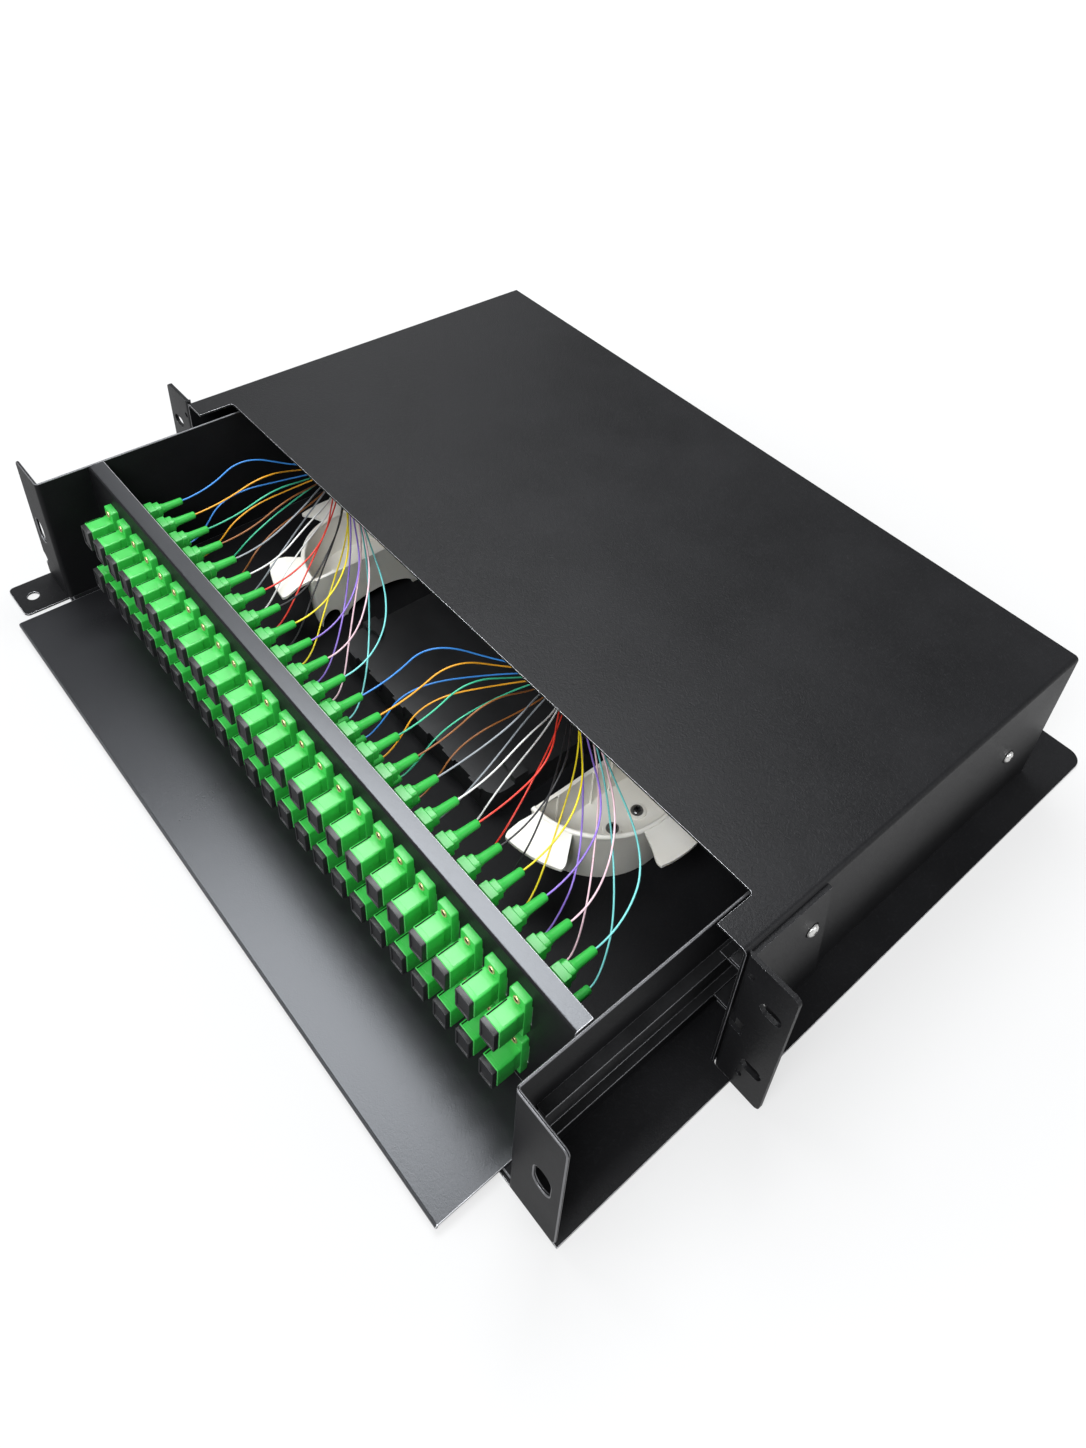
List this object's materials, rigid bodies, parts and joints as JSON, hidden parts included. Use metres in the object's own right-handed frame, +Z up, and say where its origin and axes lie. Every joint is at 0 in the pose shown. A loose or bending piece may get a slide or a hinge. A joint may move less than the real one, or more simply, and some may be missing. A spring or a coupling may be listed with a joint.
{
  "type": "fibre optic patch panel",
  "caption": "Black slide-out rack patch panel: a drawer of green fibre adapters runs out of a shallow steel chassis, with coloured pigtails led over ivory half-moon guides.",
  "frame": {"origin": "underside of the base plate, mid-width, in the plane where the ears meet the rack", "axes": "+X along the front to the right, +Y to the rear, +Z up"},
  "size_m": [0.4826, 0.395, 0.088],
  "materials": {
    "black_coat": "fine-textured black powder coat on sheet steel",
    "slide_steel": "black plated rolled steel",
    "screw_steel": "black zinc",
    "grommet_rubber": "matt",
    "green_plastic": "satin moulded",
    "boot_plastic": "satin moulded",
    "cap_plastic": "moulded",
    "ivory_plastic": "satin moulded",
    "tray_plastic": "fine-textured moulded",
    "sleeve_plastic": "clear shrunk",
    "bundle_plastic": "translucent white",
    "fibre_blue": "smooth buffer",
    "fibre_orange": "smooth buffer",
    "fibre_green": "smooth buffer",
    "fibre_brown": "smooth buffer",
    "fibre_slate": "smooth buffer",
    "fibre_white": "smooth buffer",
    "fibre_red": "smooth buffer",
    "fibre_black": "smooth buffer",
    "fibre_yellow": "smooth buffer",
    "fibre_violet": "smooth buffer",
    "fibre_rose": "smooth buffer",
    "fibre_aqua": "smooth buffer"
  },
  "bodies": {
    "chassis": {"base_plate": "black_coat", "top_cover": "black_coat", "rear_panel": "black_coat", "ear_bracket_left": "black_coat", "ear_bracket_right": "black_coat", "slide_outer_left": "slide_steel", "slide_outer_right": "slide_steel", "bracket_screws": "screw_steel", "slide_screws": "screw_steel", "cable_grommets": "grommet_rubber"},
    "left_middle_slide": {"slide_middle_left": "slide_steel"},
    "right_middle_slide": {"slide_middle_right": "slide_steel"},
    "drawer": {"slide_inner_left": "slide_steel", "slide_inner_right": "slide_steel", "drawer_floor": "black_coat", "drawer_side_left": "black_coat", "drawer_side_right": "black_coat", "front_tray": "black_coat", "adapter_bar": "black_coat", "adapters_upper": "green_plastic", "adapters_lower": "green_plastic", "dust_caps_upper": "cap_plastic", "dust_caps_lower": "cap_plastic", "connectors_upper": "green_plastic", "connectors_lower": "green_plastic", "boots_upper": "boot_plastic", "boots_lower": "boot_plastic", "fibre_guide_left": "ivory_plastic", "fibre_guide_right": "ivory_plastic", "guide_screws": "screw_steel", "splice_tray": "tray_plastic", "splice_tray_lid": "tray_plastic", "splice_holders": "tray_plastic", "splice_sleeves": "sleeve_plastic", "fibre_bundle_left": "bundle_plastic", "fibre_bundle_right": "bundle_plastic", "fibres_blue": "fibre_blue", "fibres_orange": "fibre_orange", "fibres_green": "fibre_green", "fibres_brown": "fibre_brown", "fibres_slate": "fibre_slate", "fibres_white": "fibre_white", "fibres_red": "fibre_red", "fibres_black": "fibre_black", "fibres_yellow": "fibre_yellow", "fibres_violet": "fibre_violet", "fibres_rose": "fibre_rose", "fibres_aqua": "fibre_aqua"}
  },
  "joints": [
    {"name": "drawer_slide", "type": "slide", "parent": "chassis", "child": "drawer", "axis": [0, -1, 0], "range_m": [-0.0915, 0.11]},
    {"name": "left_slide_run", "type": "slide", "parent": "chassis", "child": "left_middle_slide", "axis": [0, -1, 0], "range_m": [-0.046, 0.0552]},
    {"name": "right_slide_run", "type": "slide", "parent": "chassis", "child": "right_middle_slide", "axis": [0, -1, 0], "range_m": [-0.046, 0.0552]}
  ],
  "couplings": [
    {"joint": "left_slide_run", "follows": "drawer_slide", "ratio": 0.5},
    {"joint": "right_slide_run", "follows": "drawer_slide", "ratio": 0.5}
  ]
}
